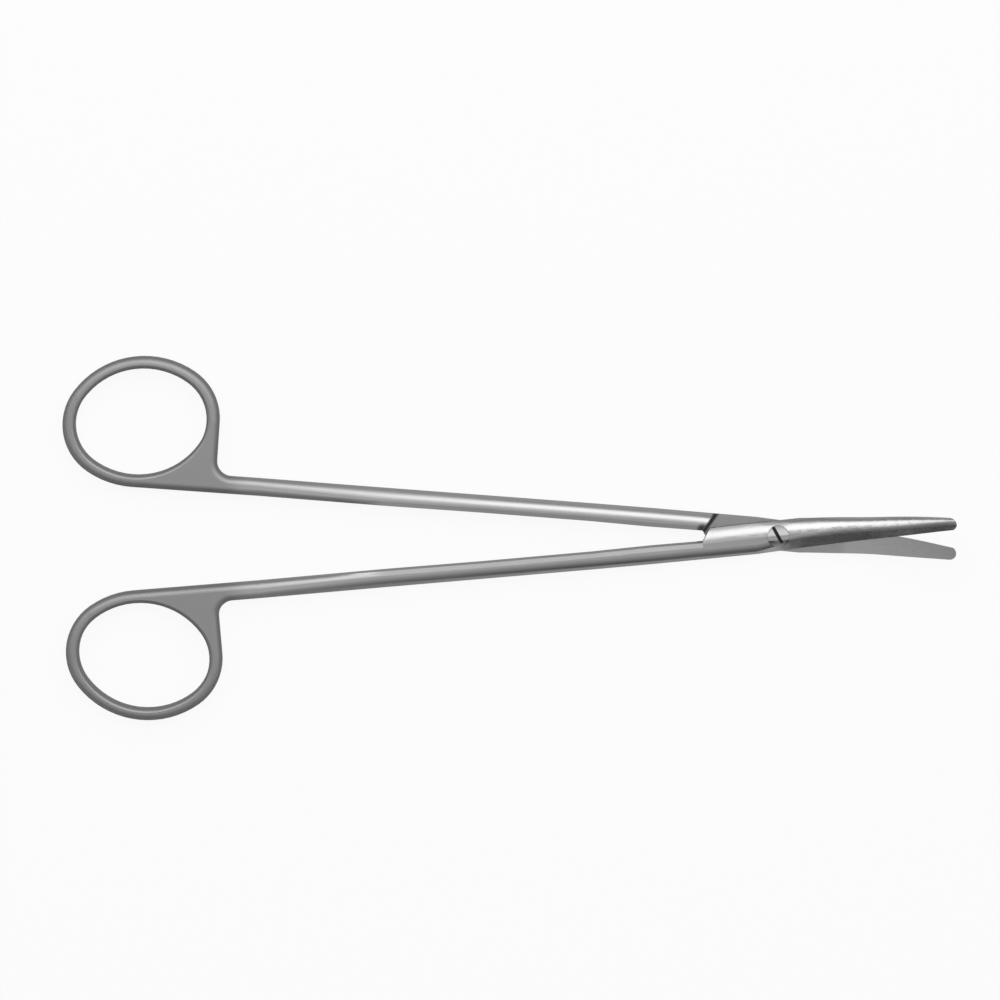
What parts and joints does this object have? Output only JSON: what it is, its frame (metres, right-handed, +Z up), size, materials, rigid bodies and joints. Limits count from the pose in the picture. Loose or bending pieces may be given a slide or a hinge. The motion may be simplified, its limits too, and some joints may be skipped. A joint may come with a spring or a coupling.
{
  "type": "dissecting scissors",
  "caption": "Slender curved dissecting scissors with long shanks, oval finger rings, short blunt blades and a screw lap joint.",
  "frame": {"origin": "on the pivot axis, in the flat underside on which the scissors rest", "axes": "+X from the rings to the blade tips along the middle of the open jaws, +Y towards the thumb half's ring, +Z up along the pivot axis, from the tail of the screw to its slotted head; the blades curve up towards +Z"},
  "size_m": [0.1797, 0.0742, 0.0104],
  "materials": {
    "finger_steel": "satin ground stainless steel",
    "thumb_steel": "satin ground stainless steel",
    "screw_steel": "turned stainless steel"
  },
  "bodies": {
    "thumb_side": {"thumb_half": "thumb_steel", "pivot_screw": "screw_steel"},
    "finger_side": {"finger_half": "finger_steel"}
  },
  "joints": [
    {"name": "blade_pivot", "type": "hinge", "parent": "thumb_side", "child": "finger_side", "pos_m": [0, 0, 0], "axis": [0, 0, 1], "range_deg": [-8.7, 81.3]}
  ]
}
